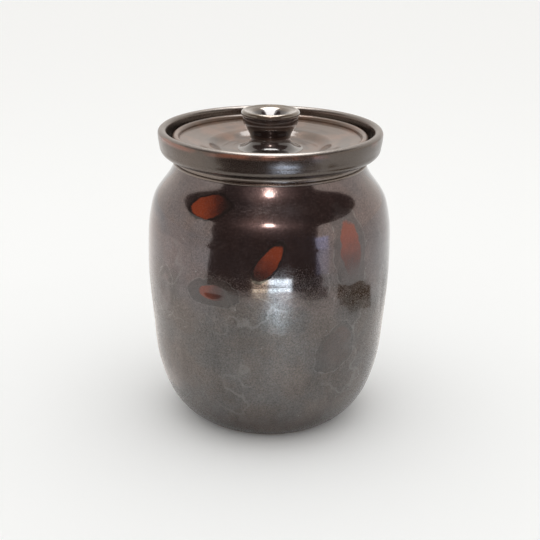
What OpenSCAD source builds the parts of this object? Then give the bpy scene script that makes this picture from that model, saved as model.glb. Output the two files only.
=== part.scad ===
// Lidded onggi jar: a swelling pot with a flat slab base, a recessed neck, a
// heavy rolled collar with a sunk gallery, and a dished lid with a hollow knob
// that drops into the gallery. Every piece is turned about the Z axis, and the
// jar stands on the XY plane.

/* [Jar wall] */
// Radius of the foot where it meets the table
foot_r = 59.4; // [50:0.2:75]
// Radius of the belly at its widest
belly_r = 94.8; // [80:0.2:120]
// Height of the widest part of the belly
belly_h = 135; // [100:1:180]
// Height of the shoulder, from the belly up to the neck
shoulder_h = 69.1; // [50:0.1:95]
// Thickness of the wall
wall_t = 7; // [5:0.5:10]
// Thickness of the slab that makes the floor
floor_t = 10; // [6:0.5:14]

/* [Neck and collar] */
// Outer radius of the neck where it leaves the shoulder
neck_r = 73.4; // [60:0.2:80]
// Height of the neck, from the shoulder to the underside of the collar
neck_h = 6.9; // [6:0.1:14]
// Radius of the fine bead round the foot of the neck
bead_r = 1.3; // [0.6:0.1:2]
// Radius of the hollow under the collar
cove_r = 3.5; // [2:0.1:4]
// How far the collar stands out from the neck
collar_out = 12.3; // [11:0.1:18]
// Height of the collar, from its underside to the crest of its lip
collar_h = 19.8; // [16:0.1:26]
// How much the collar narrows from its lip down to its lower corner
collar_taper = 1.2; // [0:0.1:2]
// Radius of the lower outside corner of the collar
collar_corner_r = 7; // [3:0.5:8]
// Thickness of the rounded lip
lip_t = 6.6; // [4:0.1:8]

/* [Gallery for the lid] */
// Depth of the seat below the crest of the lip
gallery_d = 13.8; // [10:0.1:15]
// How much the gallery narrows from the lip down to the seat
gallery_taper = 1.1; // [0:0.1:2]
// How far the ledge reaches in from the neck
ledge_w = 5.5; // [3:0.1:8]
// Height of the ledge
ledge_h = 8; // [6:0.1:11]

/* [Lid] */
// Gap between the edge of the lid and the gallery
lid_gap = 3.5; // [1:0.1:6]
// Gap between the bowl of the lid and the ledge
bowl_gap = 1.5; // [0.5:0.1:3]
// Height of the lid's edge above its seat
lid_edge_h = 9.1; // [7:0.1:12]
// Thickness of the lid's rounded edge
lid_edge_t = 5.6; // [4:0.1:7]
// Depth of the lid's floor below the crest of its edge
dish_d = 11.3; // [9:0.1:14]
// Radius of the lid's flat floor
dish_r = 37; // [30:0.5:40]
// Radius of the ring where the lid's slope begins
ring_r = 48.6; // [43:0.2:52]
// Height of that ring above the floor
ring_h = 4.6; // [3:0.1:6]
// Depth of the groove inside the lid's edge
groove_d = 3.4; // [2:0.1:5]
// Thickness of the lid's floor
lid_t = 6.3; // [4:0.1:8]

/* [Knob] */
// Height of the knob, from the lid's floor to the crest of its lip
knob_h = 29.4; // [25:0.1:36]
// Radius of the knob's lip
knob_r = 22.2; // [19:0.1:26]
// Radius of the knob's waist
waist_r = 15.4; // [12:0.1:18]
// Height of the waist above the lid's floor
waist_h = 8.5; // [6:0.1:11]
// Radius of the flared foot of the knob
flare_r = 24.8; // [20:0.1:29]
// Height over which the knob opens from its waist to its cup
throat_h = 13.5; // [10:0.1:15]
// How far the lip stands out from the cup
cup_in = 1.1; // [0.5:0.1:2]
// Radius of the roll of the knob's lip
knob_lip_t = 2.2; // [1.5:0.1:3]
// Depth of the hollow in the top of the knob
hollow_d = 12.7; // [8:0.1:14]
// Radius of the flat at the bottom of that hollow
pit_r = 1.5; // [1:0.1:4]

/* [Hidden] */
$fn = 96;

glaze = [0.24, 0.21, 0.20];
glaze_collar = [0.33, 0.29, 0.27];
glaze_lid = [0.50, 0.42, 0.37];
glaze_knob = [0.20, 0.15, 0.13];

// Steps along each stretch of a curve, and along each round corner
curve_steps = 6;
arc_steps = 8;

// Shape of the wall: [share of the rise, share of the swell] at each place
// where its curve changes, first from foot to belly, then from belly to neck
lower_shape = [[0, 0], [0.08, 0.36], [0.137, 0.515], [0.334, 0.80], [0.625, 0.93]];
upper_shape = [[0, 1], [0.421, 0.911], [0.617, 0.762], [0.928, 0.106], [1, 0]];

// Heights and radii that pieces share
neck_z = belly_h + shoulder_h;
neck_in = neck_r - wall_t;
collar_z = neck_z + neck_h;
collar_r = neck_r + collar_out;
crest_z = collar_z + collar_h;
lip_r = lip_t / 2;
seat_z = crest_z - gallery_d;
gallery_r = collar_r - lip_t - gallery_taper;
ledge_in = neck_in - ledge_w;
lid_r = gallery_r - lid_gap;
lid_crest_z = seat_z + lid_edge_h;
bowl_r = ledge_in - bowl_gap;
dish_z = lid_crest_z - dish_d;
cup_r = knob_r - cup_in;

// Small radii and edges of the clay
nose_r = 2;
edge_r = 1;
flare_edge = 0.6;

function unit(v) = v / norm(v);

// Direction of the curve through the points p at its point i
function lean(p, i) =
    i == 0 ? 1.5 * unit(p[1] - p[0]) - 0.5 * lean(p, 1)
    : i == len(p) - 1 ? 1.5 * unit(p[i] - p[i - 1]) - 0.5 * lean(p, i - 1)
    : let (before = norm(p[i] - p[i - 1]), after = norm(p[i + 1] - p[i]))
        (unit(p[i] - p[i - 1]) * after + unit(p[i + 1] - p[i]) * before) / (before + after);

// Point at the share t of the way from point i to the next, on a cubic curve
function between(p, i, t) =
    let (reach = norm(p[i + 1] - p[i]))
    (2 * t^3 - 3 * t^2 + 1) * p[i] + (3 * t^2 - 2 * t^3) * p[i + 1]
    + reach * ((t^3 - 2 * t^2 + t) * lean(p, i) + (t^3 - t^2) * lean(p, i + 1));

function curve(p) = [
    p[0],
    for (i = [0 : len(p) - 2], k = [1 : curve_steps]) between(p, i, k / curve_steps)
];

// The line p moved to its left by t
function inset(p, t) = [
    for (i = [0 : len(p) - 1])
        let (along = unit(p[min(i + 1, len(p) - 1)] - p[max(i - 1, 0)]))
        p[i] + t * [-along[1], along[0]]
];

// Points on an arc about c, with radii a across and b up, between two angles
function arc(c, a, b, from, to) = [
    for (k = [0 : arc_steps])
        let (w = from + (to - from) * k / arc_steps)
        c + [a * cos(w), b * sin(w)]
];

// An S-bend from p to q that starts and ends level, or upright
function level_bend(p, q) = [
    for (k = [0 : arc_steps])
        let (u = k / arc_steps)
        [p[0] + (q[0] - p[0]) * u, p[1] + (q[1] - p[1]) * (1 - cos(180 * u)) / 2]
];

function upright_bend(p, q) = [
    for (k = [0 : arc_steps])
        let (u = k / arc_steps)
        [p[0] + (q[0] - p[0]) * (1 - cos(180 * u)) / 2, p[1] + (q[1] - p[1]) * u]
];

// Angle of the line that leaves the point p and touches the circle at c from above
function tangent(p, c, r) = atan2(c[1] - p[1], c[0] - p[0]) + asin(r / norm(c - p));

wall_line = curve([
    for (s = lower_shape) [foot_r + (belly_r - foot_r) * s[1], belly_h * s[0]],
    for (s = upper_shape) [neck_r + (belly_r - neck_r) * s[1], belly_h + shoulder_h * s[0]]
]);

// Half section of the jar's outside, and of its hollow
module jar_half() {
    polygon([[0, 0], each wall_line, [0, neck_z]]);
}

module hollow_half() {
    line = inset(wall_line, wall_t);
    polygon([[0, line[0][1]], each line, [neck_in, neck_z], [0, neck_z]]);
}

// A band of the half section between two heights
module band(low, high) {
    translate([0, low]) square([2 * belly_r, high - low]);
}

module base_slab() {
    color(glaze)
    rotate_extrude()
    intersection() {
        jar_half();
        band(0, floor_t);
    }
}

module jar_wall() {
    color(glaze)
    rotate_extrude()
    difference() {
        intersection() {
            jar_half();
            band(floor_t, neck_z);
        }
        hollow_half();
    }
}

module rim_collar() {
    corner = [collar_r - collar_taper - collar_corner_r, collar_z + collar_corner_r];
    cove = [neck_r + cove_r, collar_z - cove_r];
    color(glaze_collar)
    rotate_extrude()
    polygon([
        [neck_in, neck_z],
        each arc([neck_r, neck_z + bead_r], bead_r, bead_r, -90, 90),
        each arc(cove, cove_r, cove_r, 180, 90),
        each arc(corner, collar_corner_r, collar_corner_r, -90, 0),
        each arc([collar_r - lip_r, crest_z - lip_r], lip_r, lip_r, 0, 180),
        [gallery_r, seat_z],
        [neck_in, seat_z]
    ]);
}

module lid_ledge() {
    nose = [ledge_in + nose_r, seat_z - nose_r];
    color(glaze_collar)
    rotate_extrude()
    polygon([
        [neck_in, seat_z],
        each arc(nose, nose_r, nose_r, 90, 180),
        [ledge_in, seat_z - ledge_h / 2],
        [neck_in, seat_z - ledge_h]
    ]);
}

module lid_plate() {
    edge = [lid_r - lid_edge_t / 2, lid_crest_z - lid_edge_t / 2];
    groove = [lid_r - lid_edge_t, lid_crest_z - groove_d];
    color(glaze_lid)
    rotate_extrude()
    polygon([
        [0, dish_z],
        each level_bend([dish_r, dish_z], [ring_r, dish_z + ring_h]),
        groove,
        each arc(edge, lid_edge_t / 2, lid_edge_t / 2, 180, 0),
        each arc([lid_r - edge_r, seat_z + edge_r], edge_r, edge_r, 0, -90),
        [bowl_r, seat_z],
        each level_bend([bowl_r - edge_r, seat_z - edge_r], [dish_r, dish_z - lid_t]),
        [0, dish_z - lid_t]
    ]);
}

module lid_knob() {
    waist = [waist_r, dish_z + waist_h];
    top_z = dish_z + knob_h;
    lip = [knob_r - knob_lip_t, top_z - knob_lip_t];
    pit = [pit_r, top_z - hollow_d];
    color(glaze_knob)
    rotate_extrude()
    polygon([
        [0, dish_z],
        [flare_r, dish_z],
        each arc([flare_r, waist[1]], flare_r - waist_r, waist_h - flare_edge, 270, 180),
        each upright_bend(waist, [cup_r, waist[1] + throat_h]),
        each arc(lip, knob_lip_t, knob_lip_t, -60, 90 + tangent(pit, lip, knob_lip_t)),
        pit,
        [0, pit[1]]
    ]);
}

base_slab();
jar_wall();
rim_collar();
lid_ledge();
lid_plate();
lid_knob();
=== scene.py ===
"""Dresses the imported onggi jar: turned clay, glazes with finger-wiped marks, and a plain pale studio."""

import math
from collections import namedtuple

import bpy
import numpy as np
from bpy.props import FloatProperty, FloatVectorProperty, IntProperty, PointerProperty
from mathutils import Euler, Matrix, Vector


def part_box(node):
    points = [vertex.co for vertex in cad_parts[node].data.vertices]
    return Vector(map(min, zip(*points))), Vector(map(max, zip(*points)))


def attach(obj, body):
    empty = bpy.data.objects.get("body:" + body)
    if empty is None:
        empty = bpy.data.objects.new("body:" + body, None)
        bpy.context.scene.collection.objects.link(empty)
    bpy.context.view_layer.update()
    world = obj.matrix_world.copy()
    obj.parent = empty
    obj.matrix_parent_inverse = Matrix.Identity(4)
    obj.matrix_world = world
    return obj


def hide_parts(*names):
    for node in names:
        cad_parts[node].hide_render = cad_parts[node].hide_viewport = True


bl_info = {
    "name": "Glazed Onggi Jar",
    "version": (1, 0, 0),
    "blender": (4, 5, 0),
    "location": "3D View > Sidebar > Onggi Jar",
    "description": "Turns and glazes a lidded onggi jar around its measured parts",
    "category": "Add Mesh",
}

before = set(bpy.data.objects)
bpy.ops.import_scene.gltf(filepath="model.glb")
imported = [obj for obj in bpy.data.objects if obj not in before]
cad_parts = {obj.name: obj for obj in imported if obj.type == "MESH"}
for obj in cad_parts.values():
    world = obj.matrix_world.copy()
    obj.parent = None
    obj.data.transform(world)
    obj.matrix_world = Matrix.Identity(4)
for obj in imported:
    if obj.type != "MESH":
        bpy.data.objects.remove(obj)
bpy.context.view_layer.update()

MM = 0.001

# Boxes of the measured parts, which the sizes below start from
_, slab_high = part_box("base_slab")
wall_low, wall_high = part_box("jar_wall")
_, collar_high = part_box("rim_collar")
ledge_low, ledge_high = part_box("lid_ledge")
plate_low, plate_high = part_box("lid_plate")
knob_low, knob_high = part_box("lid_knob")

# The belly stays just inside the measured one
BELLY_RADIUS = min(-wall_low.x, wall_high.y) - 0.05 * MM

# Shape of the wall: share of the rise and share of the swell at each place
# where its curve changes, from foot to belly and from belly to neck
LOWER_SHAPE = np.array([(0, 0), (0.08, 0.36), (0.137, 0.515), (0.334, 0.80), (0.625, 0.93)])
UPPER_SHAPE = np.array([(0, 1), (0.421, 0.911), (0.617, 0.762), (0.928, 0.106), (1, 0)])

# How far apart the wall's rows lie outside and inside
WALL_SPACING = 1.4 * MM
INSIDE_SPACING = 3 * MM

# One fingertip mark: where it is round the jar in degrees and up it in mm, its
# half width and half length in mm, how far its top leans right in degrees, how
# much bare clay shows, and how far and how thoroughly the film round it is wiped
Mark = namedtuple("Mark", "turn height half_width half_length lean bare halo wiped")
FINGER_MARKS = (
    Mark(-32.0, 188.8, 9.0, 15.5, -104, 1.0, 1.22, 0.95),
    Mark(-0.5, 154.0, 6.5, 16.0, 35, 0.9, 1.16, 0.9),
    Mark(39.0, 158.5, 9.5, 22.0, -5, 0.9, 1.6, 0.38),
    Mark(-25.5, 128.5, 6.0, 11.5, -90, 0.75, 1.85, 0.50),
    Mark(34.0, 82.0, 13.0, 17.0, 30, 0.16, 1.25, 0.36),
    Mark(-55.0, 118.0, 8.0, 16.0, 3, 0.22, 1.4, 0.12),
    Mark(66.0, 108.0, 7.0, 22.0, -5, 0.16, 1.2, 0.0),
    Mark(96.0, 168.0, 8.0, 14.0, 25, 0.7, 1.6, 0.4),
    Mark(128.0, 135.0, 8.5, 15.0, -12, 0.85, 1.7, 0.4),
    Mark(163.0, 164.0, 7.5, 14.0, 55, 0.6, 1.6, 0.6),
    Mark(-150.0, 140.0, 9.0, 16.0, -5, 0.8, 1.7, 0.4),
    Mark(-118.0, 172.0, 7.5, 12.5, 70, 0.6, 1.5, 0.6),
    Mark(-98.0, 126.0, 8.0, 13.0, 15, 0.7, 1.7, 0.4),
)


def length(name, text, default):
    """A length in metres."""
    return FloatProperty(name=name, description=text, default=default, min=0.0, precision=5, unit="LENGTH")


def share(name, text, default, top):
    """A plain number from 0 up to its top."""
    return FloatProperty(name=name, description=text, default=default, min=0.0, max=top, subtype="FACTOR")


def tint(name, text, default):
    """A colour, as its red, green and blue light."""
    return FloatVectorProperty(name=name, description=text, default=default, min=0, max=1, subtype="COLOR")


def turn(name, text, default):
    """An angle, with its default in degrees."""
    return FloatProperty(name=name, description=text, default=math.radians(default), subtype="ANGLE")


class JarSizes(bpy.types.PropertyGroup):
    """Sizes of the jar below its collar"""

    foot: length("Foot radius", "Radius of the foot where it meets the table", 59.4 * MM)
    belly: length("Belly radius", "Radius of the belly at its widest", BELLY_RADIUS)
    belly_height: length("Belly height", "Height of the widest part of the belly", 135 * MM)
    neck: length("Neck radius", "Outer radius of the neck where it leaves the shoulder", 73.4 * MM)
    neck_height: length("Neck height", "Height at which the shoulder ends in the neck", wall_high.z)
    wall: length("Wall", "Thickness of the wall", 7 * MM)
    floor: length("Floor", "Thickness of the slab that makes the floor", slab_high.z)
    foot_ring: length("Foot ring", "Width of the ring that the jar stands on", 6 * MM)
    foot_hollow: length("Foot hollow", "Depth of the underside within that ring", 0.8 * MM)
    heel: length("Heel", "Radius of the rounded edge of the foot", 1.6 * MM)
    inside_round: length("Inside round", "Radius where the wall meets the floor inside", 9 * MM)
    uneven: length("Unevenness", "How far the thrown wall strays inwards", 0.45 * MM)
    mark_depth: length("Mark depth", "How deep a finger mark lies in the glaze", 0.3 * MM)


class RimSizes(bpy.types.PropertyGroup):
    """Sizes of the collar and its ledge"""

    bead: length("Bead", "Radius of the fine bead round the foot of the neck", 1.3 * MM)
    cove: length("Cove", "Radius of the hollow under the collar", 3.5 * MM)
    neck_rise: length("Neck rise", "Height of the neck up to the underside of the collar", 6.9 * MM)
    collar: length("Collar radius", "Radius of the collar at its lip", min(collar_high.x, collar_high.y))
    crest: length("Crest", "Height of the collar's lip", collar_high.z)
    taper: length("Taper", "How much the collar narrows down to its lower corner", 1.2 * MM)
    bow: length("Bow", "How far the face of the collar bows out between its corner and its lip", 0.22 * MM)
    corner: length("Corner", "Radius of the lower outside corner of the collar", 7 * MM)
    lip: length("Lip", "Thickness of the rounded lip", 6.6 * MM)
    gallery: length("Gallery radius", "Radius of the gallery at the seat", 78 * MM)
    seat: length("Seat", "Height of the lid's seat", ledge_high.z)
    ledge_in: length("Ledge opening", "Radius of the opening within the ledge", 60.9 * MM)
    ledge_foot: length("Ledge foot", "Height at which the ledge leaves the neck", ledge_low.z)
    soft: length("Soft edge", "Radius of the small edges that the glaze rounds off", 1.2 * MM)


class LidSizes(bpy.types.PropertyGroup):
    """Sizes of the lid and its knob"""

    radius: length("Lid radius", "Radius of the lid's edge", min(plate_high.x, plate_high.y))
    crest: length("Lid crest", "Height of the lid's rounded edge", plate_high.z)
    edge: length("Edge", "Thickness of the lid's rounded edge", 5.6 * MM)
    groove: length("Groove", "Depth of the groove inside the lid's edge", 3.4 * MM)
    dish: length("Dish radius", "Radius of the lid's flat floor", 37 * MM)
    dish_height: length("Dish height", "Height of the lid's floor", knob_low.z)
    ring: length("Ring radius", "Radius of the ring where the lid's slope begins", 48.6 * MM)
    ring_rise: length("Ring rise", "Height of that ring above the lid's floor", 4.6 * MM)
    bowl: length("Bowl radius", "Radius of the bowl that hangs in the ledge", 59.4 * MM)
    under: length("Underside", "Height of the lid's underside", plate_low.z)
    ripple: length("Ripple", "Depth of the rings left by throwing the lid", 0.07 * MM)
    knob: length("Knob radius", "Radius of the knob's lip", 22.2 * MM)
    knob_top: length("Knob top", "Height of the crest of the knob", knob_high.z)
    knob_roll: length("Knob roll", "Radius of the roll of the knob's lip", 2.2 * MM)
    waist: length("Waist radius", "Radius of the knob's waist", 15.4 * MM)
    waist_rise: length("Waist rise", "Height of the waist above the lid's floor", 8.5 * MM)
    flare: length("Flare radius", "Radius of the flared foot of the knob", min(knob_high.x, knob_high.y))
    throat: length("Throat", "Height over which the knob opens to its cup", 13.5 * MM)
    cup_in: length("Cup", "How far the lip stands out from the cup", 1.1 * MM)
    hollow: length("Hollow", "Depth of the hollow in the top of the knob", 12.7 * MM)


class GlazeColours(bpy.types.PropertyGroup):
    """Colours of the clay and its glazes"""

    film_low: tint("Lower film", "Metallic film on the lower wall", (0.132, 0.119, 0.111))
    film_high: tint("Upper film", "Metallic film on the shoulder", (0.139, 0.115, 0.113))
    # Darker than the lower film: painted shade of the jar's contact shadow near the foot, and browner
    shaded_foot_film: tint("Foot film", "Thinner, browner film above the foot", (0.074, 0.053, 0.044))
    glass: tint("Glass", "Dark glaze where the film is wiped thin", (0.008, 0.004, 0.003))
    rust: tint("Rust", "Bare rust-red clay under a finger mark", (0.185, 0.030, 0.008))
    rust_dark: tint("Dark rust", "Clay at the darker end of a mark", (0.050, 0.010, 0.006))
    # Also mixed over the crest of the collar's lip as a painted highlight
    haze_and_highlight: tint("Haze", "Pale bloom along the edges of the film", (0.30, 0.29, 0.28))
    collar: tint("Collar film", "Metallic film on the collar", (0.114, 0.093, 0.079))
    edge_rust: tint("Edge rust", "Thin glaze along the edges of the collar", (0.20, 0.066, 0.034))
    lid: tint("Lid", "Satin brown of the lid", (0.096, 0.058, 0.036))
    lid_red: tint("Lid red", "Redder patches of the lid", (0.170, 0.088, 0.052))
    knob: tint("Knob", "Glossy dark brown of the knob", (0.020, 0.011, 0.009))
    knob_crest: tint("Knob crest", "Thinner, paler film over the crest of the knob", (0.115, 0.088, 0.062))
    clay: tint("Clay", "Unglazed clay of the foot and the seat", (0.30, 0.165, 0.105))


class StudioSetup(bpy.types.PropertyGroup):
    """Camera and light"""

    distance: length("Distance", "How far in front of the jar's axis the camera stands", 0.800)
    eye: length("Eye height", "Height of the camera", 0.4091)
    pitch: turn("Pitch", "How far the camera looks down", 20.17)
    yaw: turn("Yaw", "How far the camera looks to the right", 0.064)
    roll: turn("Roll", "How far the camera leans to the left", 0.65)
    lens: FloatProperty(name="Lens", description="Focal length in millimetres", default=71.39, min=10.0)
    room: share("Room", "Brightness of the plain room", 1.0, 2.0)
    room_tint: tint("Room tint", "Colour of the plain room", (1.0, 0.94, 0.88))
    floor_tint: tint("Floor", "Colour of the floor", (0.90, 0.955, 1.0))
    columns: IntProperty(name="Columns", description="Columns round each turned piece", default=360, min=24)


def arc(centre, across, up, start, end, steps=14):
    """Points (r, z) = centre + (across cos w, up sin w), for w from start to end in degrees."""
    w = np.radians(np.linspace(start, end, steps + 1))
    return np.stack([centre[0] + across * np.cos(w), centre[1] + up * np.sin(w)], axis=1)


def straight(start, end, steps):
    """Points p = start + t (end - start), for t from 0 to 1."""
    t = np.linspace(0, 1, steps + 1)[:, None]
    return np.asarray(start) + t * (np.asarray(end) - np.asarray(start))


def bowed(start, end, bow, steps=12):
    """Points p = start + t (end - start), with r also larger by 4 t (1 - t) of the bow, for t from 0 to 1."""
    line = straight(start, end, steps)
    t = np.linspace(0, 1, steps + 1)
    line[:, 0] += bow * 4 * t * (1 - t)
    return line


def level_bend(start, end, steps):
    """S-bend that starts and ends level: r runs evenly, and z eases by (1 - cos(180 t)) / 2."""
    t = np.linspace(0, 1, steps + 1)
    ease = (1 - np.cos(math.pi * t)) / 2
    return np.stack([start[0] + (end[0] - start[0]) * t, start[1] + (end[1] - start[1]) * ease], axis=1)


def upright_bend(start, end, steps):
    """S-bend that starts and ends upright: z runs evenly, and r eases by (1 - cos(180 t)) / 2."""
    return level_bend(start[::-1], end[::-1], steps)[:, ::-1]


def flowing(points, steps=40):
    """Cubic through the points, as the solid wall has it.

    Between two points a and b that are h apart, for t from 0 to 1,
    p = (2t^3 - 3t^2 + 1) a + (3t^2 - 2t^3) b + h ((t^3 - 2t^2 + t) da + (t^3 - t^2) db).
    The direction at a point is the mean of the unit chords on both sides, each weighted with the other's
    length; at an end it is 1.5 times the end chord less half of the next direction."""
    chord = np.diff(points, axis=0)
    reach = np.linalg.norm(chord, axis=1, keepdims=True)
    way = chord / reach
    inner = (way[:-1] * reach[1:] + way[1:] * reach[:-1]) / (reach[:-1] + reach[1:])
    lean = np.vstack([1.5 * way[:1] - 0.5 * inner[:1], inner, 1.5 * way[-1:] - 0.5 * inner[-1:]])
    t = np.linspace(0, 1, steps + 1)[:-1].reshape(1, -1, 1)
    a, b, da, db = (v[:, None, :] for v in (points[:-1], points[1:], lean[:-1], lean[1:]))
    h = reach[:, None, :]
    run = (2 * t**3 - 3 * t**2 + 1) * a + (3 * t**2 - 2 * t**3) * b
    run = run + h * ((t**3 - 2 * t**2 + t) * da + (t**3 - t**2) * db)
    return np.vstack([run.reshape(-1, 2), points[-1:]])


def evenly(line, spacing):
    """The line again, with its points evenly spaced along its own length."""
    along = np.concatenate([[0], np.cumsum(np.linalg.norm(np.diff(line, axis=0), axis=1))])
    at = np.linspace(0, along[-1], max(2, int(round(along[-1] / spacing)) + 1))
    return np.stack([np.interp(at, along, line[:, 0]), np.interp(at, along, line[:, 1])], axis=1)


def stretch(line, low, high, seam=0.05 * MM):
    """The part of a rising line between two heights, with a narrow band at each end for its seam."""
    z = line[:, 1]
    inside = line[(z > low + 2 * seam) & (z < high - 2 * seam)]
    ends = [low, low + seam, high - seam, high]
    cut = np.stack([np.interp(ends, z, line[:, 0]), ends], axis=1)
    return np.vstack([cut[:2], inside, cut[2:]])


def inset(line, thickness):
    """The rising line moved to its left by the thickness, square to its direction."""
    along = np.gradient(line, axis=0)
    along = along / np.linalg.norm(along, axis=1, keepdims=True)
    return line + thickness * np.stack([-along[:, 1], along[:, 0]], axis=1)


def wall_line(jar):
    """Outside of the wall from the foot to the neck, evenly spaced."""
    rise, swell = LOWER_SHAPE.T
    lower = np.stack([jar.foot + (jar.belly - jar.foot) * swell, jar.belly_height * rise], axis=1)
    rise, swell = UPPER_SHAPE.T
    height = jar.belly_height + (jar.neck_height - jar.belly_height) * rise
    upper = np.stack([jar.neck + (jar.belly - jar.neck) * swell, height], axis=1)
    return evenly(flowing(np.vstack([lower, upper])), WALL_SPACING)


# Edges that bend by more than this stay sharp
SHARP_ANGLE = math.radians(35)
# Half sections closer to the axis than this end on it
ON_AXIS = 1e-9
# What finger_field gives far from every mark
NO_MARK = (9.0, 0.0, 0.0, 9.0, 0.0)


def stray(angle, height):
    """How unevenly the wall is thrown, from 0 to 1: slow waves round the jar and up it, and a faint spiral.

    0.45, plus an eighth of sin(2a + 31z + 1), of sin(3a - 47z + 2.2) and of sin(5a + 83z + 4.1), plus
    0.035 sin(a + 700z)."""
    slow = np.sin(2 * angle + 31 * height + 1.0) + np.sin(3 * angle - 47 * height + 2.2)
    return 0.45 + (slow + np.sin(5 * angle + 83 * height + 4.1)) / 8 + 0.035 * np.sin(angle + 700 * height)


def finger_field(angle, height, radius):
    """Where each point of the rising wall lies in its nearest finger mark.

    With u the way round the jar and v the way up its wall from the mark's centre, turned by its lean,
    p = u / half width, q = v / half length and d = sqrt(p^2 + q^2). Gives d, q and the bare share of the
    clay, then d again as a share of the halo's reach, and how thoroughly the halo is wiped."""
    step = np.hypot(np.diff(radius[:, 0]), np.diff(height[:, 0]))
    along = np.concatenate([[0], np.cumsum(step)])[:, None] + np.zeros_like(angle)
    field = np.full((*angle.shape, 5), NO_MARK)
    for mark in FINGER_MARKS:
        gap = (angle - math.radians(mark.turn - 90) + math.pi) % (2 * math.pi) - math.pi
        u = gap * radius
        v = along - np.interp(mark.height * MM, height[:, 0], along[:, 0])
        lean = math.radians(mark.lean)
        p = (u * math.cos(lean) - v * math.sin(lean)) / (mark.half_width * MM)
        q = (u * math.sin(lean) + v * math.cos(lean)) / (mark.half_length * MM)
        d = np.hypot(p, q)
        here = np.stack([d, q, d * 0 + mark.bare, d / mark.halo, d * 0 + mark.wiped], axis=2)
        field = np.where((here[..., 3] < field[..., 3])[..., None], here, field)
    return field


def thrown(jar, rising=0):
    """How the thrown wall departs from a true turned one, for its first rising rows and for the rest.

    Everywhere it strays inwards. Each finger mark is also a dip of (1 - d^2)^2 times the mark's depth."""

    def shape(angle, height, radius):
        dent = jar.uneven * stray(angle, height) * np.clip(radius / jar.neck, 0, 1)
        marks = np.full((*angle.shape, 5), NO_MARK)
        if rising:
            marks[:rising] = finger_field(angle[:rising], height[:rising], radius[:rising])
            dent = dent + jar.mark_depth * (1 - np.minimum(marks[..., 0], 1) ** 2) ** 2
        return dent, marks

    return shape


def keep_marks(mesh, marks):
    """Writes the finger marks' field on a mesh's points, its first three numbers and then its other two."""
    field = np.zeros((len(mesh.vertices), 6))
    field[:, :5] = NO_MARK
    field[: marks.size // 5, :5] = marks.reshape(-1, 5)
    for name, part in (("finger_mark", field[:, :3]), ("finger_halo", field[:, 3:])):
        made = mesh.attributes.new(name, "FLOAT_VECTOR", "POINT")
        made.data.foreach_set("vector", part.astype(np.float32).ravel())


def add_piece(name, points, quads, fans, body, nodes, material):
    """One mesh object from arrays of points, four-cornered faces and three-cornered faces."""
    mesh = bpy.data.meshes.new(name)
    mesh.from_pydata(points.tolist(), [], quads.tolist() + fans.tolist())
    mesh.shade_smooth()
    mesh.set_sharp_from_angle(angle=SHARP_ANGLE)
    mesh.materials.append(material)
    piece = bpy.data.objects.new(name, mesh)
    bpy.context.scene.collection.objects.link(piece)
    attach(piece, body)
    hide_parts(*nodes)
    return piece


def turned(scene, name, line, body, nodes, glaze, shape=None):
    """Carries a half section round the Z axis: (r, z) goes to ((r - dent) cos a, (r - dent) sin a, z).

    The line runs up the outside and down the inside. A line that starts or ends on the axis closes there in a
    single point, and any other line closes on its own start."""
    columns = scene.onggi_studio.columns
    poles = [line[i] for i in (0, -1) if line[i, 0] < ON_AXIS]
    rows = line[line[:, 0] >= ON_AXIS]
    angle = (np.arange(columns) * 2 * math.pi / columns)[None, :] + np.zeros((len(rows), 1))
    radius = rows[:, :1] + np.zeros((1, columns))
    height = rows[:, 1:] + np.zeros((1, columns))
    marks = None
    if shape is not None:
        dent, marks = shape(angle, height, radius)
        radius = radius - dent
    grid = np.stack([radius * np.cos(angle), radius * np.sin(angle), height], axis=2).reshape(-1, 3)
    column = np.arange(columns)
    beside = (column + 1) % columns
    last = len(rows) if not poles else len(rows) - 1
    row = np.arange(last)[:, None] * columns
    above = ((np.arange(last) + 1) % len(rows))[:, None] * columns
    quads = np.stack([row + column, row + beside, above + beside, above + column], axis=2).reshape(-1, 4)
    fans = np.zeros((0, 3), int)
    if poles:
        top = (len(rows) - 1) * columns
        first, end = len(grid), len(grid) + 1
        grid = np.vstack([grid, [[0, 0, pole[1]] for pole in poles]])
        start_fan = np.stack([np.full(columns, first), beside, column], axis=1)
        end_fan = np.stack([np.full(columns, end), top + column, top + beside], axis=1)
        fans = np.vstack([start_fan, end_fan])
    piece = add_piece(name, grid, quads, fans, body, nodes, material_of(scene, glaze))
    if marks is not None:
        keep_marks(piece.data, marks)


def reckoned(operation, swapped=False):
    """A method that gives this number and another one to a new Math node, the other one first if swapped."""

    def method(self, other=0.0):
        first, second = (other, self) if swapped else (self, other)
        return self.finish.node("ShaderNodeMath", {"operation": operation}, {0: first, 1: second})

    return method


class Signal:
    """A number in a finish. Sums, products and powers of it add Math nodes."""

    def __init__(self, finish, socket):
        self.finish = finish
        self.socket = socket

    __add__ = reckoned("ADD")
    __radd__ = reckoned("ADD", swapped=True)
    __sub__ = reckoned("SUBTRACT")
    __rsub__ = reckoned("SUBTRACT", swapped=True)
    __mul__ = reckoned("MULTIPLY")
    __rmul__ = reckoned("MULTIPLY", swapped=True)
    __truediv__ = reckoned("DIVIDE")
    __pow__ = reckoned("POWER")
    __abs__ = reckoned("ABSOLUTE")


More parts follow.
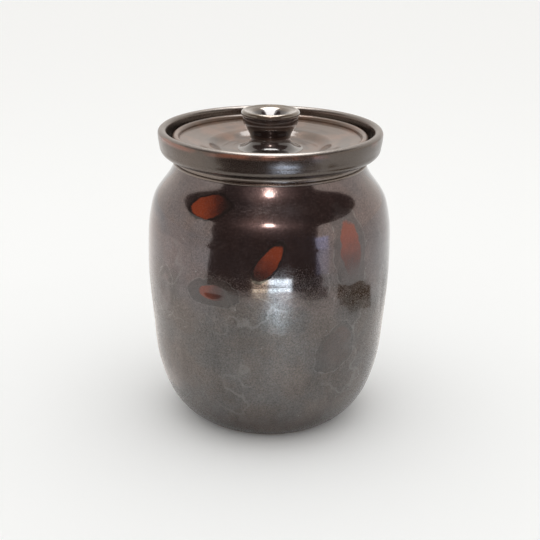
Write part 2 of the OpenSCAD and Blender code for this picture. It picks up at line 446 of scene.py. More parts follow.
class Finish:
    """A material, and the few kinds of node that the glazes are made of."""

    def __init__(self, name):
        self.material = bpy.data.materials.new(name)
        self.material.use_nodes = True
        self.tree = self.material.node_tree
        self.tree.nodes.clear()

    def node(self, kind, settings=None, inputs=None, out=0):
        """Adds a node: first its settings, then the values or links of its sockets."""
        made = self.tree.nodes.new(kind)
        for name, value in (settings or {}).items():
            setattr(made, name, value)
        for socket, value in (inputs or {}).items():
            if isinstance(value, Signal):
                self.tree.links.new(value.socket, made.inputs[socket])
            else:
                made.inputs[socket].default_value = value
        return Signal(self, made.outputs[out]) if made.outputs else None

    def place(self):
        """Object coordinates."""
        return self.node("ShaderNodeTexCoord", out="Object")

    def field(self, name):
        """The vector that the mesh keeps under that name."""
        return self.node("ShaderNodeAttribute", {"attribute_name": name}, out="Vector")

    def parts(self, vector):
        """The three numbers of a vector."""
        split = self.node("ShaderNodeSeparateXYZ", inputs={0: vector}).socket.node
        return [Signal(self, socket) for socket in split.outputs]

    def stretched(self, scale, shift=(0, 0, 0)):
        """Object coordinates in pattern units, scale of them to a metre along each axis."""
        inputs = {"Vector": self.place(), "Location": shift, "Scale": scale}
        return self.node("ShaderNodeMapping", inputs=inputs)

    def noise(self, scale, detail=3.0, rough=0.5, shift=(0, 0, 0), wander=0.0):
        """Cloudy noise from 0 to 1. scale is its grains to a metre, the same each way or one for each."""
        scale = scale if isinstance(scale, tuple) else (scale,) * 3
        inputs = {"Vector": self.stretched(scale, shift), "Scale": 1.0, "Detail": detail, "Roughness": rough}
        return self.node("ShaderNodeTexNoise", inputs=inputs | {"Distortion": wander})

    def dots(self, scale, shift=(0, 0, 0)):
        """Distance to the nearest of many scattered points, and a random number for each of them."""
        settings = {"feature": "F1", "distance": "EUCLIDEAN"}
        inputs = {"Vector": self.stretched((scale,) * 3, shift), "Scale": 1.0}
        near = self.node("ShaderNodeTexVoronoi", settings, inputs)
        colour = Signal(self, near.socket.node.outputs["Color"])
        return near, self.parts(colour)[0]

    def ease(self, value, low, high):
        """0 below low, 1 above high and smooth between; it falls where low is above high."""
        settings = {"interpolation_type": "SMOOTHSTEP", "clamp": True}
        if low < high:
            inputs = {"Value": value, "From Min": low, "From Max": high}
            return self.node("ShaderNodeMapRange", settings, inputs)
        inputs = {"Value": value, "From Min": high, "From Max": low, "To Min": 1.0, "To Max": 0.0}
        return self.node("ShaderNodeMapRange", settings, inputs)

    def mixed(self, factor, first, second):
        """A colour part of the way from the first to the second."""
        first, second = ((*c, 1.0) if isinstance(c, tuple) else c for c in (first, second))
        settings = {"data_type": "RGBA", "blend_type": "MIX", "clamp_factor": True}
        return self.node("ShaderNodeMix", settings, {0: factor, 6: first, 7: second}, out=2)

    def scaled(self, colour, amount):
        """A colour made lighter or darker by a number, or by one for each of its parts."""
        if isinstance(amount, tuple):
            return self.node("ShaderNodeVectorMath", {"operation": "MULTIPLY"}, {0: colour, 1: amount})
        return self.node("ShaderNodeVectorMath", {"operation": "SCALE"}, {0: colour, "Scale": amount})

    def bump(self, height, distance, below=None):
        """A normal that leans with the height, which is worth distance in metres."""
        inputs = {"Height": height, "Distance": distance, "Strength": 1.0}
        if below is not None:
            inputs["Normal"] = below
        return self.node("ShaderNodeBump", inputs=inputs)

    def finished(self, **inputs):
        """Closes the material with its one surface shader."""
        named = {name.replace("_", " "): value for name, value in inputs.items()}
        shader = self.node("ShaderNodeBsdfPrincipled", inputs=named)
        self.node("ShaderNodeOutputMaterial", inputs={"Surface": shader})
        return self.material


def rgb(colour):
    """The three numbers of a colour property."""
    return tuple(colour)


# How high the finest grain of a glaze stands, and how strongly its glass bends light
GLAZE_GRAIN = 0.020 * MM
GLAZE_IOR = 1.62


def dark_glaze(scene):
    """Bronze-black glaze: a thin metallic film under clear glass, wiped to rust-red clay by fingertips."""
    colours = scene.onggi_colours
    g = Finish("dark_glaze")
    height = g.parts(g.place())[2]
    distance, ahead, share_bare = g.parts(g.field("finger_mark"))
    halo_distance, wiped, _ = g.parts(g.field("finger_halo"))

    cloud = g.ease(g.noise(24, 4.0, 0.6), 0.34, 0.66)
    drift = g.ease(g.noise((60, 60, 26), 5.0, 0.6, (3, 1, 7)), 0.32, 0.68)
    drips = g.ease(g.noise((150, 150, 14), 3.0, 0.6, (5, 2, 2)), 0.32, 0.68)
    grain = g.noise(850, 2.0, 0.6)
    fine = g.noise(1500, 1.0, 0.5, (5, 5, 5))
    low_wall = g.ease(height + (cloud - 0.5) * (20 * MM), 150 * MM, 105 * MM)
    # The film darkens towards the foot: painted shade where the jar stands on the floor
    foot = g.ease(height + (drift - 0.5) * (6 * MM), 34 * MM, 6 * MM)

    edge = g.noise(170, 3.0, 0.6, (9, 2, 4))
    bend = g.noise(70, 2.0, 0.5, (2, 6, 3))
    core = g.ease(distance + (edge - 0.5) * 0.30 + (bend - 0.5) * 0.7, 1.06, 0.88)
    core = core * g.ease(ahead + (edge - 0.5) * 0.5, -1.15, -0.35) * share_bare
    halo_line = halo_distance + (drift - 0.5) * 0.10 + (bend - 0.5) * 0.7
    halo_tint = g.ease(halo_line, 1.05, 0.92) * wiped
    halo = g.ease(halo_line, 1.02, 0.84) * wiped
    rim = g.ease(abs(halo_line - 1.0), 0.045, 0.0) * g.ease(edge, 0.40, 0.56) * (1 - wiped)

    film = g.mixed(low_wall, rgb(colours.film_high), rgb(colours.film_low))
    film = g.mixed(foot, film, rgb(colours.shaded_foot_film))
    film = g.scaled(film, 0.80 + 0.22 * cloud + 0.16 * drift + 0.07 * low_wall * (drips - 0.5))
    warmth = g.ease(g.noise(38, 3.0, 0.55, (8, 2, 6)), 0.36, 0.64)
    film = g.mixed(warmth, g.scaled(film, (0.97, 1.0, 1.03)), g.scaled(film, (1.05, 0.995, 0.965)))
    film = g.scaled(film, 0.20 + 1.6 * grain)

    vein_field = g.noise(15, 3.0, 0.52, (1, 8, 3), 0.1)
    vein = g.ease(abs(vein_field - 0.5), 0.014, 0.0) * g.ease(g.noise(26, 2.0, 0.5, (4, 4, 1)), 0.46, 0.66)
    near, pick = g.dots(210, (2, 7, 1))
    speck = g.ease(near, 0.16, 0.08) * g.ease(pick, 0.86, 0.9)
    film = g.mixed(vein * 0.28 + speck * 0.6 + rim * 0.7, film, rgb(colours.haze_and_highlight))

    bright_end = g.ease(ahead + (edge - 0.5) * 0.8 + 1.3 * (share_bare - 1), -0.8, 0.45)
    clay = g.mixed(bright_end, rgb(colours.rust_dark), rgb(colours.rust))
    clay = g.scaled(clay, 0.75 + 0.5 * grain)
    colour = g.mixed(halo_tint, film, rgb(colours.glass))
    colour = g.mixed(core, colour, clay)

    bare = g.ease(height, 0.9 * MM, 0.4 * MM)
    dust = g.ease(grain, 0.54, 0.74)
    metal = (1 - 0.96 * halo) * (1 - core) * (1 - bare) * (1 - 0.05 * dust)
    colour = g.mixed(bare, colour, g.scaled(rgb(colours.clay), 0.75 + 0.5 * grain))
    flake = g.ease(fine + 0.12 * low_wall + 0.04 * (drift - 0.5), 0.54, 0.66)
    rough = 0.11 + (0.13 + 0.24 * low_wall) * flake + 0.06 * low_wall + 0.14 * core + 0.5 * bare
    rough = rough + 0.02 * g.ease(height, 191 * MM, 199 * MM)
    clear = 0.40 + 0.35 * g.ease(halo_tint + core, 0.0, 0.5) + 0.25 * core * (1 - wiped)
    return g.finished(
        Base_Color=colour,
        Metallic=metal,
        Roughness=rough,
        Normal=g.bump(grain * 0.6 + fine * 0.4, GLAZE_GRAIN),
        Specular_IOR_Level=0.15,
        Coat_Weight=clear * (1 - bare),
        Coat_Roughness=0.035,
        Coat_IOR=GLAZE_IOR,
    )


def collar_glaze(scene):
    """The same glaze on the collar, thin and rusty along the lip."""
    colours, rim = scene.onggi_colours, scene.onggi_rim
    neck_top = scene.onggi_jar.neck_height + rim.neck_rise
    g = Finish("collar_glaze")
    across, along, height = g.parts(g.place())
    outer = g.ease((across**2 + along**2) ** 0.5, rim.collar - 4.5 * MM, rim.collar - 2.0 * MM)
    cloud = g.noise(30, 4.0, 0.55, (2, 2, 2))
    grain = g.noise(900, 2.0, 0.6)
    fine = g.noise(2100, 1.0, 0.5, (5, 5, 5))
    patch = g.noise((22, 22, 40), 3.0, 0.55, (6, 3, 2))
    film = g.scaled(rgb(colours.collar), (0.72 + 0.5 * cloud) * (0.80 + 0.4 * grain))
    below_crest = rim.crest - height + (patch - 0.5) * (4 * MM)
    thin = g.ease(below_crest, 1.2 * MM, 2.4 * MM) * g.ease(below_crest, 5.8 * MM, 3.4 * MM)
    thin = thin * (0.15 + 0.85 * outer) * g.ease(patch, 0.42, 0.60)
    # Painted light: the film below the collar's underside is made brighter, standing in for light in the cove
    # of the neck
    film = g.scaled(film, 1 + 0.7 * g.ease(height, neck_top + MM, neck_top - MM))
    # Painted highlight: along the crest of the lip the film is mixed towards the pale haze colour, and the
    # crest is made rougher
    rolled = g.ease(rim.crest - height, 2.2 * MM, 0.8 * MM)
    film = g.mixed(rolled * 0.35, film, rgb(colours.haze_and_highlight))
    colour = g.mixed(thin * 0.85, film, g.scaled(rgb(colours.edge_rust), 0.6 + 0.8 * grain))
    wavy = g.bump(g.noise(55, 2.0, 0.5, (7, 1, 4)), 0.5 * MM)
    return g.finished(
        Base_Color=colour,
        Metallic=0.95 * (1 - 0.8 * thin),
        Roughness=0.19 + 0.12 * cloud + 0.16 * g.ease(fine, 0.50, 0.64) + 0.10 * rolled,
        Normal=g.bump(grain * 0.6 + fine * 0.4, GLAZE_GRAIN, wavy),
        Coat_Weight=0.3 + 0.4 * thin,
        Coat_Roughness=0.08,
        Coat_IOR=GLAZE_IOR,
    )


def lid_glaze(scene):
    """Satin brown glaze with soft redder patches, and darker painted reflection that runs round with the
    throwing.
    """
    colours = scene.onggi_colours
    g = Finish("lid_glaze")
    across, along, _ = g.parts(g.place())
    reach = (across**2 + along**2) ** 0.5 + 0.5 * MM
    inputs = {0: across / reach * 1.3, 1: along / reach * 1.3, 2: reach * 95}
    ringed = g.node("ShaderNodeCombineXYZ", inputs=inputs)
    inputs = {"Vector": ringed, "Scale": 1.0, "Detail": 1.5, "Roughness": 0.5}
    # Darker streaks that run round with the throwing: painted reflection
    reflection_stroke = g.ease(g.node("ShaderNodeTexNoise", inputs=inputs), 0.52, 0.66)
    cloud = g.noise(36, 4.0, 0.6, (1, 4, 0))
    grain = g.noise(800, 2.0, 0.55)
    colour = g.mixed(g.ease(cloud, 0.42, 0.68), rgb(colours.lid), rgb(colours.lid_red))
    colour = g.scaled(colour, (0.78 + 0.44 * grain) * (1 - 0.40 * reflection_stroke))
    return g.finished(
        Base_Color=colour,
        Metallic=0.25,
        Roughness=0.32 + 0.15 * cloud,
        Normal=g.bump(grain, 0.012 * MM),
        Coat_Weight=0.62,
        Coat_Roughness=0.09,
        Coat_IOR=1.5,
    )


def knob_glaze(scene):
    """Glossy dark brown glaze, with a paler film over the crest of the knob."""
    colours = scene.onggi_colours
    top = scene.onggi_lid.knob_top
    g = Finish("knob_glaze")
    height = g.parts(g.place())[2]
    crest = g.ease(height, top - 3.4 * MM, top - 2.0 * MM)
    cloud = g.noise(60, 3.0, 0.5, (0, 3, 1))
    grain = g.noise(900, 2.0, 0.5)
    colour = g.mixed(crest, rgb(colours.knob), rgb(colours.knob_crest))
    colour = g.scaled(colour, (0.7 + 0.6 * cloud) * (0.8 + 0.4 * grain))
    return g.finished(
        Base_Color=colour,
        Metallic=0.15 + 0.45 * crest,
        Roughness=0.18 + 0.1 * cloud,
        Normal=g.bump(grain, 0.008 * MM),
        Coat_Weight=1.0,
        Coat_Roughness=0.05,
        Coat_IOR=GLAZE_IOR,
    )


def material_of(scene, glaze):
    """The material that the glaze's function makes, made the first time it is asked for."""
    name = "onggi_" + glaze.__name__
    found = bpy.data.materials.get(name)
    if found is None:
        found = glaze(scene)
        found.name = name
    return found


class ONGGI_OT_base_slab(bpy.types.Operator):
    """Make the round slab that the jar stands on"""

    bl_idname = "onggi.base_slab"
    bl_label = "Base slab"

    def execute(self, context):
        jar = context.scene.onggi_jar
        wall = wall_line(jar)
        heel_top = np.interp(jar.heel, wall[:, 1], wall[:, 0])
        heel_bend = (jar.foot + 0.1 * jar.heel, 0.3 * jar.heel)
        heel = flowing(np.array([(jar.foot - jar.heel, 0), heel_bend, (heel_top, jar.heel)]), 6)
        ring_in = jar.foot - jar.foot_ring
        side = stretch(wall, jar.heel, jar.floor)[1:]
        # Half section: out along the hollow underside and the ring, round the heel, up the side and back in
        line = np.vstack([
            straight((0, jar.foot_hollow), (ring_in - jar.heel, jar.foot_hollow), 24)[:-1],
            level_bend((ring_in - jar.heel, jar.foot_hollow), (ring_in, 0), 6),
            straight((ring_in, 0), (jar.foot - jar.heel, 0), 3)[1:-1],
            heel,
            side,
            straight(side[-1], (0, jar.floor), 6)[1:],
        ])
        turned(context.scene, "base_slab_glazed", line, "jar", ["base_slab"], dark_glaze, thrown(jar))
        return {"FINISHED"}


class ONGGI_OT_jar_wall(bpy.types.Operator):
    """Make the wall, from the slab over the belly and shoulder to the neck"""

    bl_idname = "onggi.jar_wall"
    bl_label = "Jar wall"

    def execute(self, context):
        jar = context.scene.onggi_jar
        wall = wall_line(jar)
        outside = stretch(wall, jar.floor, jar.neck_height)
        inner = inset(wall, jar.wall)
        inner = inner[inner[:, 0] >= jar.neck - jar.wall]
        inner = evenly(inner, INSIDE_SPACING)
        start_z = jar.floor + jar.inside_round
        start = (np.interp(start_z, inner[:, 1], inner[:, 0]), start_z)
        inner = np.vstack([[start], inner[inner[:, 1] > start_z + MM]])
        neck_in = jar.neck - jar.wall
        inner = inner[inner[:, 1] < jar.neck_height - 2 * MM]
        inside = np.vstack([inner, straight(inner[-1], (neck_in, jar.neck_height), 3)[1:]])[::-1]
        lean_in = start[0] - jar.inside_round
        base_round = arc((lean_in, start_z), jar.inside_round, jar.inside_round, 0, -90, 8)[1:]
        # Half section: up the outside, over the end of the neck, down the inside and round into the floor
        line = np.vstack([
            outside,
            straight(outside[-1], inside[0], 3)[1:-1],
            inside,
            base_round,
            straight(base_round[-1], outside[0], 4)[1:-1],
        ])
        shape = thrown(jar, len(outside))
        turned(context.scene, "jar_wall_glazed", line, "jar", ["jar_wall"], dark_glaze, shape)
        return {"FINISHED"}


class ONGGI_OT_rim_collar(bpy.types.Operator):
    """Make the beaded neck and the heavy rolled collar"""

    bl_idname = "onggi.rim_collar"
    bl_label = "Rim collar"

    def execute(self, context):
        jar = context.scene.onggi_jar
        rim = context.scene.onggi_rim
        neck_in = jar.neck - jar.wall
        foot = jar.neck_height
        under = foot + rim.neck_rise
        corner = (rim.collar - rim.taper - rim.corner, under + rim.corner)
        lip_r = rim.lip / 2
        lip = (rim.collar - lip_r, rim.crest - lip_r)
        soft = (rim.gallery - rim.soft, rim.seat + rim.soft)
        # Half section: the foot of the neck, its bead and cove, the collar's corner, face and lip, the seat
        line = np.vstack([
            straight((neck_in, foot), (jar.neck, foot), 3)[:-1],
            arc((jar.neck, foot + rim.bead), rim.bead, rim.bead, -90, 90),
            arc((jar.neck + rim.cove, under - rim.cove), rim.cove, rim.cove, 180, 90),
            straight((jar.neck + rim.cove, under), (corner[0], under), 2)[1:-1],
            arc(corner, rim.corner, rim.corner, -90, 0),
            bowed((rim.collar - rim.taper, corner[1]), (rim.collar, lip[1]), rim.bow)[1:-1],
            arc(lip, lip_r, lip_r, 0, 180, 28),
            straight((rim.collar - rim.lip, lip[1]), (rim.gallery, soft[1]), 5)[1:-1],
            arc(soft, rim.soft, rim.soft, 0, -90, 6),
            straight((soft[0], rim.seat), (neck_in, rim.seat), 5)[1:-1],
            straight((neck_in, rim.seat), (neck_in, foot), 4)[:-1],
        ])
        turned(context.scene, "rim_collar_glazed", line, "jar", ["rim_collar"], collar_glaze, thrown(jar))
        return {"FINISHED"}


class ONGGI_OT_lid_ledge(bpy.types.Operator):
    """Make the ring inside the neck that widens the lid's seat"""

    bl_idname = "onggi.lid_ledge"
    bl_label = "Lid ledge"

    def execute(self, context):
        jar = context.scene.onggi_jar
        rim = context.scene.onggi_rim
        neck_in = jar.neck - jar.wall
        nose_r = 2 * MM
        nose = (rim.ledge_in + nose_r, rim.seat - nose_r)
        middle = (rim.seat + rim.ledge_foot) / 2
        # Half section: up the inside of the neck, over the rounded nose and back down an S-bend
        line = np.vstack([
            straight((neck_in, rim.ledge_foot), (neck_in, rim.seat), 4)[:-1],
            straight((neck_in, rim.seat), (nose[0], rim.seat), 3)[:-1],
            arc(nose, nose_r, nose_r, 90, 180, 8),
            straight((rim.ledge_in, nose[1]), (rim.ledge_in, middle), 3)[1:-1],
            level_bend((rim.ledge_in, middle), (neck_in, rim.ledge_foot), 10)[:-1],
        ])
        turned(context.scene, "lid_ledge_glazed", line, "jar", ["lid_ledge"], collar_glaze, thrown(jar))
        return {"FINISHED"}


class ONGGI_OT_lid_plate(bpy.types.Operator):
    """Make the dished lid with its rounded edge"""

    bl_idname = "onggi.lid_plate"
    bl_label = "Lid plate"

    def execute(self, context):
        rim = context.scene.onggi_rim
        lid = context.scene.onggi_lid
        edge_r = lid.edge / 2
        edge = (lid.radius - edge_r, lid.crest - edge_r)
        groove = (lid.radius - lid.edge, lid.crest - lid.groove)
        ring = (lid.ring, lid.dish_height + lid.ring_rise)
        small = MM
        # Half section, from the middle of the top: the dish, its slope, the edge, the bowl and the underside
        top = np.vstack([
            straight((0, lid.dish_height), (lid.dish, lid.dish_height), 30)[:-1],
            level_bend((lid.dish, lid.dish_height), ring, 30)[:-1],
            straight(ring, groove, 30),
        ])
        # The throwing rings sink by half the ripple times 1 + sin(r / 1.15 mm), less so within 6 mm
        wave = np.sin(top[:, 0] / (1.15 * MM)) * np.clip(top[:, 0] / (6 * MM), 0, 1)
        top[:, 1] -= lid.ripple * (1 + wave) / 2
        outside = np.vstack([
            arc(edge, edge_r, edge_r, 180, 0, 22),
            straight((lid.radius, edge[1]), (lid.radius, rim.seat + small), 5)[1:-1],
            arc((lid.radius - small, rim.seat + small), small, small, 0, -90, 6),
            straight((lid.radius - small, rim.seat), (lid.bowl, rim.seat), 6)[1:],
            level_bend((lid.bowl - small, rim.seat - small), (lid.dish, lid.under), 30),
            straight((lid.dish, lid.under), (0, lid.under), 10)[1:],
        ])
        line = np.vstack([top, outside])[::-1]
        turned(context.scene, "lid_plate_glazed", line, "lid", ["lid_plate"], lid_glaze)
        return {"FINISHED"}


class ONGGI_OT_lid_knob(bpy.types.Operator):
    """Make the hollow knob of the lid"""

    bl_idname = "onggi.lid_knob"
    bl_label = "Lid knob"

    def execute(self, context):
        lid = context.scene.onggi_lid
        roll = lid.knob_roll
        waist = (lid.waist, lid.dish_height + lid.waist_rise)
        lip = (lid.knob - roll, lid.knob_top - roll)
        pit_z = lid.knob_top - lid.hollow
        rise = 0.1 * MM
        # Half section: the flared foot, the waist, the throat, the rolled lip and the hollow
        line = np.vstack([
            straight((0, lid.dish_height), (lid.flare, lid.dish_height), 4)[:-1],
            arc((lid.flare, waist[1]), lid.flare - lid.waist, lid.waist_rise - rise, 270, 180, 20),
            upright_bend(waist, (lid.knob - lid.cup_in, waist[1] + lid.throat), 30)[1:],
            arc(lip, roll, roll, -60, 118, 18),
            level_bend((lip[0] - 0.7 * roll, lid.knob_top - 0.35 * roll), (0, pit_z), 30)[1:],
        ])
        turned(context.scene, "lid_knob_glazed", line, "lid", ["lid_knob"], knob_glaze)
        return {"FINISHED"}


def plain_material(name, colour, emission=0.0):
    """One flat colour, for the floor, or a plain glow."""
    g = Finish(name)
    if emission:
        glow = g.node("ShaderNodeEmission", inputs={"Color": (*colour, 1.0), "Strength": emission})
        g.node("ShaderNodeOutputMaterial", inputs={"Surface": glow})
        return g.material
    return g.finished(Base_Color=(*colour, 1.0), Roughness=0.9, Specular_IOR_Level=0.2)


def card(name, grid, material):
    """A studio card that shows only in what shines, from rows and columns of points, with its own map."""
    rows, columns = grid.shape[:2]
    quads = grid_faces(rows, columns)
    mesh = bpy.data.meshes.new(name)
    mesh.from_pydata(grid.reshape(-1, 3).tolist(), [], quads.tolist())
    mesh.materials.append(material)
    up, across = np.meshgrid(np.linspace(0, 1, rows), np.linspace(0, 1, columns), indexing="ij")
    flat = np.stack([across.ravel(), up.ravel()], axis=1)[quads.ravel()]
    mesh.uv_layers.new(name="card_map").data.foreach_set("uv", flat.astype(np.float32).ravel())
    made = bpy.data.objects.new(name, mesh)
    bpy.context.scene.collection.objects.link(made)
    for ray in ("camera", "diffuse", "shadow", "volume_scatter"):
        setattr(made, "visible_" + ray, False)


def around(azimuth, elevation, distance, centre):
    """Points seen from the centre: azimuth 0 is towards the front and turns right, both angles in degrees."""
    a, e = np.radians(azimuth), np.radians(elevation)
    way = np.stack([np.sin(a) * np.cos(e), -np.cos(a) * np.cos(e), np.sin(e)], axis=-1)
    return np.asarray(centre) + distance * way


def grid_faces(rows, columns):
    """Four-cornered faces between the rows and columns of a grid of points."""
    at = (np.arange(rows - 1)[:, None] * columns + np.arange(columns - 1)).ravel()
    return np.stack([at, at + 1, at + columns + 1, at + columns], axis=1)


def curved_card(name, material, azimuths, elevations, distance, centre):
    """A patch of a sphere about the centre, from one azimuth and elevation to another."""
    azimuth, elevation = np.meshgrid(np.linspace(*azimuths, 25), np.linspace(*elevations, 13))
    card(name, around(azimuth, elevation, distance, centre), material)


def ring_card(name, material, azimuths, near, far, height=MM, fall=0.0):
    """A patch of a low cone about the jar's axis, between two distances r from it: z = height - fall r."""
    radius = near + (far - near) * np.linspace(0, 1, 14)[:, None] + 0 * azimuths
    azimuth = np.radians(azimuths) + 0 * radius
    grid = np.stack([radius * np.sin(azimuth), -radius * np.cos(azimuth), height - fall * radius], axis=2)
    card(name, grid, material)


def glowing(name, colour, strength, mask_of):
    """A glow that fades where the mask, made from the card's own u and v, falls below 1."""
    g = Finish(name)
    u, v, _ = g.parts(g.node("ShaderNodeTexCoord", out="UV"))
    glow = g.node("ShaderNodeEmission", inputs={"Color": (*colour, 1.0), "Strength": strength})
    clear = g.node("ShaderNodeBsdfTransparent")
    both = g.node("ShaderNodeMixShader", inputs={0: mask_of(g, u, v), 1: clear, 2: glow})
    g.node("ShaderNodeOutputMaterial", inputs={"Surface": both})
    return g.material


def round_glow(g, u, v):
    """Brightest in the middle, and nothing at the distance of the card's half width."""
    return g.ease(((2 * u - 1) ** 2 + (2 * v - 1) ** 2) ** 0.5, 1.0, 0.25)


def wide_glow(g, u, v):
    """The square of a glow that is brightest in the middle and falls evenly to the card's edge."""
    return g.ease(((2 * u - 1) ** 2 + (2 * v - 1) ** 2) ** 0.5, 1.0, 0.0) ** 2


def soft_ends(g, u, v):
    """Even in the middle and fading slowly towards both ends and the far side."""
    return g.ease(u, 0.0, 0.3) * g.ease(u, 1.0, 0.7) * g.ease(v, 1.0, 0.5)


def soft_panel(g, u, v):
    """Even in the middle and fading along all four sides."""
    return g.ease(u, 0.0, 0.14) * g.ease(u, 1.0, 0.86) * g.ease(v, 0.0, 0.14) * g.ease(v, 1.0, 0.86)


def from_top(g, u, v):
    """Brightest along the top, a third as bright at the foot, and fading at the sides."""
    sides = g.ease(u, 0.0, 0.2) * g.ease(u, 1.0, 0.8)
    return sides * g.ease(v, 1.0, 0.94) * (0.33 + 0.67 * g.ease(v, 0.55, 0.9))


# The dark side of the room, seen from the jar: how far it reaches to the left
# and to the right of the front at each elevation, in degrees
SCREEN_ELEVATION = np.array([-3.2, 3.0, 8.0, 23.0, 27.5, 29.5, 33.0, 67.0])
SCREEN_LEFT = np.array([-53, -53, -55, -55, -60, -112, -117, -117])
SCREEN_RIGHT = np.array([43, 43, 45, 48, 55, 108, 113, 113])
SCREEN_CENTRE = (0, 0, 0.17)
SCREEN_DISTANCE = 3.0
SCREEN_COLOUR = (0.135, 0.100, 0.092)

# A glowing card on a sphere: where it is seen from the sphere's centre, from one
# azimuth and elevation in degrees to another, and how far off it stands
Card = namedtuple("Card", "name colour strength mask azimuths elevations distance centre")
SHOULDER = (0, -0.08, 0.19)
BELLY = (0.005, -0.095, 0.138)
LOW_BELLY = (0.005, -0.094, 0.115)
RIGHT_BELLY = (0.038, -0.085, 0.16)
CARDS = (
    Card("lamp_card", (1.0, 0.80, 0.72), 20.0, round_glow, (-8, 8), (31.5, 44.5), 2.6, SHOULDER),
    Card("lamp_halo_card", (1.0, 0.76, 0.70), 7.5, wide_glow, (-14, 14), (24, 48), 2.65, SHOULDER),
    Card("lamp_glow_card", (1.0, 0.72, 0.66), 0.95, wide_glow, (-58, 58), (-4, 76), 2.7, SHOULDER),
    Card("window_card", (0.72, 0.90, 1.0), 12.0, soft_panel, (-3, 24), (-21.3, -17.8), 0.36, BELLY),
    Card("side_pane_card", (1.0, 0.92, 0.72), 5.0, soft_panel, (-19, 1), (-21.0, -17.8), 0.362, BELLY),
    Card("window_tail_card", (0.76, 0.90, 1.0), 4.4, wide_glow, (-22, 42), (-48, -7), 0.20, LOW_BELLY),
    Card("strip_card", (0.60, 0.68, 1.0), 1.9, from_top, (41, 58), (-19, 7.5), 0.45, RIGHT_BELLY),
)

# A glowing ring about the jar's axis: its azimuths in degrees, how near and far
# it reaches, its height at the axis, and how far it falls to each metre
Ring = namedtuple("Ring", "name colour strength mask azimuths near far height fall")
COLLAR_ARC = np.linspace(-8, 32, 25)
RINGS = (
    Ring("pale_mat", (1.0, 0.97, 0.93), 1.4, soft_ends, np.linspace(90, 270, 60), 0.062, 0.36, MM, 0.0),
    Ring("left_mat", (1.0, 0.95, 0.91), 1.06, soft_ends, np.linspace(-168, -58, 40), 0.10, 1.4, MM, 0.0),
    Ring("collar_glow_card", (0.60, 0.76, 1.0), 13.0, wide_glow, COLLAR_ARC, 0.135, 0.20, 0.2030, 0.2145),
)

# The bright ceiling and the brown patch of floor that the glaze mirrors, by their corners
CEILING = np.array([[(-0.9, -1.5, 3.2), (1.1, -1.5, 3.2)], [(-0.9, 1.75, 3.2), (1.1, 1.75, 3.2)]])
CEILING_COLOUR = (1.0, 0.985, 0.97)
CEILING_GLOW = 10.0
OLIVE_NEAR = [(0.295, -0.180, 0.002), (0.268, -0.09, 0.002), (0.286, -0.02, 0.002), (0.270, 0.05, 0.002)]
OLIVE_FAR = [(0.4, -0.235, 0.002), (0.38, -0.13, 0.002), (0.42, -0.04, 0.002), (0.37, 0.06, 0.002)]
OLIVE_COLOUR = (0.13, 0.068, 0.015)

# The lamp above the jar that lights the clay itself
LAMP_PLACE = (0, -0.05, 1.35)
LAMP_SIZE = (1.0, 0.5)
LAMP_POWER = 1.6
LAMP_COLOUR = (1.0, 0.98, 0.96)

FLOOR_HALF = 12.0


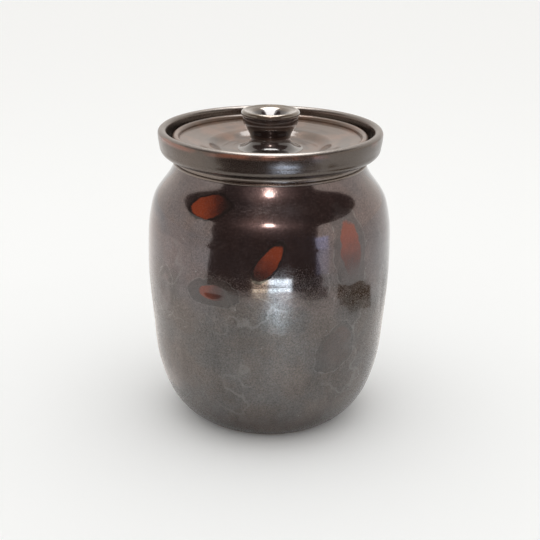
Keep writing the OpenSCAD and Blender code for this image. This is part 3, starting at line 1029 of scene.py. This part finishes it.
class ONGGI_OT_studio(bpy.types.Operator):
    """Set up the floor, the light and the camera"""

    bl_idname = "onggi.studio"
    bl_label = "Studio"

    def execute(self, context):
        scene = context.scene
        studio = scene.onggi_studio
        self.add_floor(scene, studio)
        self.add_room(scene, studio)
        self.add_screen()
        self.add_lamps(scene)
        self.add_camera(scene, studio)
        scene.view_settings.view_transform = "Standard"
        return {"FINISHED"}

    def add_floor(self, scene, studio):
        """A square floor about the origin."""
        corner = np.array([(-1, -1, 0), (1, -1, 0), (1, 1, 0), (-1, 1, 0)]) * FLOOR_HALF
        mesh = bpy.data.meshes.new("studio_floor")
        mesh.from_pydata(corner.tolist(), [], [(0, 1, 2, 3)])
        mesh.materials.append(plain_material("pale_floor", tuple(studio.floor_tint)))
        floor = bpy.data.objects.new("studio_floor", mesh)
        scene.collection.objects.link(floor)

    def add_room(self, scene, studio):
        """The same plain glow from all sides."""
        scene.world = bpy.data.worlds.new("plain_room")
        scene.world.use_nodes = True
        back = scene.world.node_tree.nodes["Background"]
        back.inputs["Color"].default_value = (*studio.room_tint, 1.0)
        back.inputs["Strength"].default_value = studio.room

    def add_screen(self):
        """The dark side of the room, seen only in the glaze."""
        dark = plain_material("dark_screen", SCREEN_COLOUR, 1.0)
        elevation = np.linspace(SCREEN_ELEVATION[0], SCREEN_ELEVATION[-1], 100)[:, None]
        left = np.interp(elevation, SCREEN_ELEVATION, SCREEN_LEFT)
        right = np.interp(elevation, SCREEN_ELEVATION, SCREEN_RIGHT)
        azimuth = left + (right - left) * np.linspace(0, 1, 60)
        grid = around(azimuth, elevation + 0 * azimuth, SCREEN_DISTANCE, SCREEN_CENTRE)
        card("dark_screen", grid, dark)
        # The dark floor in front, which comes nearer and ends sooner on the right
        azimuths = np.linspace(-53, 50, 52)
        near = np.interp(azimuths, [20, 34, 50], [0.445, 0.378, 0.368])
        ring_card("dark_mat", dark, azimuths, near, np.interp(azimuths, [42, 44], [3.0, 0.46]))
        # A dark shelf for the collar to mirror, tilted so that the wall sees only its edge
        azimuths = np.linspace(-46, 36, 60)
        near = np.interp(azimuths, [-46, -32, 24, 36], [0.20, 0.125, 0.125, 0.20])
        ring_card("dark_shelf", dark, azimuths, near, 0.34, 0.2014, 0.2145)

    def add_lamps(self, scene):
        """The glowing cards and rings, seen only in the glaze, and the lamp."""
        for name, colour, strength, mask, *place in CARDS:
            curved_card(name, glowing(name, colour, strength, mask), *place)
        card("overhead_card", CEILING, plain_material("overhead_card", CEILING_COLOUR, CEILING_GLOW))
        olive = plain_material("olive_card", OLIVE_COLOUR, 1.0)
        card("olive_card", np.array([OLIVE_NEAR, OLIVE_FAR]), olive)
        for name, colour, strength, mask, *place in RINGS:
            ring_card(name, glowing(name, colour, strength, mask), *place)
        lamp = bpy.data.lights.new("overhead_lamp", "AREA")
        lamp.shape = "RECTANGLE"
        lamp.size, lamp.size_y = LAMP_SIZE
        lamp.energy = LAMP_POWER
        lamp.color = LAMP_COLOUR
        holder = bpy.data.objects.new("overhead_lamp", lamp)
        holder.location = LAMP_PLACE
        holder.visible_glossy = False
        scene.collection.objects.link(holder)

    def add_camera(self, scene, studio):
        """The camera in front of the jar, looking down at it and leaning a little."""
        lens = bpy.data.cameras.new("photo_camera")
        lens.lens = studio.lens
        lens.sensor_width = 36.0
        lens.clip_start = 0.01
        camera = bpy.data.objects.new("photo_camera", lens)
        camera.location = (0, -studio.distance, studio.eye)
        look = Euler((math.pi / 2 - studio.pitch, 0, -studio.yaw), "XYZ").to_matrix()
        lean = Euler((0, 0, studio.roll), "XYZ").to_matrix()
        camera.rotation_euler = (look @ lean).to_euler()
        scene.collection.objects.link(camera)
        scene.camera = camera


class ONGGI_PT_panel(bpy.types.Panel):
    """The jar's steps, in the sidebar of the 3D view"""

    bl_idname = "ONGGI_PT_panel"
    bl_label = "Onggi Jar"
    bl_space_type = "VIEW_3D"
    bl_region_type = "UI"
    bl_category = "Onggi Jar"

    def draw(self, context):
        for operator in OPERATORS:
            self.layout.operator(operator.bl_idname)


OPERATORS = (
    ONGGI_OT_base_slab,
    ONGGI_OT_jar_wall,
    ONGGI_OT_rim_collar,
    ONGGI_OT_lid_ledge,
    ONGGI_OT_lid_plate,
    ONGGI_OT_lid_knob,
    ONGGI_OT_studio,
)
GROUPS = {
    "onggi_jar": JarSizes,
    "onggi_rim": RimSizes,
    "onggi_lid": LidSizes,
    "onggi_colours": GlazeColours,
    "onggi_studio": StudioSetup,
}


def register():
    for group in GROUPS.values():
        bpy.utils.register_class(group)
    for name, group in GROUPS.items():
        setattr(bpy.types.Scene, name, PointerProperty(type=group))
    for shown in (*OPERATORS, ONGGI_PT_panel):
        bpy.utils.register_class(shown)


def unregister():
    for shown in (ONGGI_PT_panel, *reversed(OPERATORS)):
        bpy.utils.unregister_class(shown)
    for name in GROUPS:
        delattr(bpy.types.Scene, name)
    for group in GROUPS.values():
        bpy.utils.unregister_class(group)


def main():
    register()
    bpy.ops.onggi.base_slab()
    bpy.ops.onggi.jar_wall()
    bpy.ops.onggi.rim_collar()
    bpy.ops.onggi.lid_ledge()
    bpy.ops.onggi.lid_plate()
    bpy.ops.onggi.lid_knob()
    bpy.ops.onggi.studio()


if __name__ == "__main__":
    main()
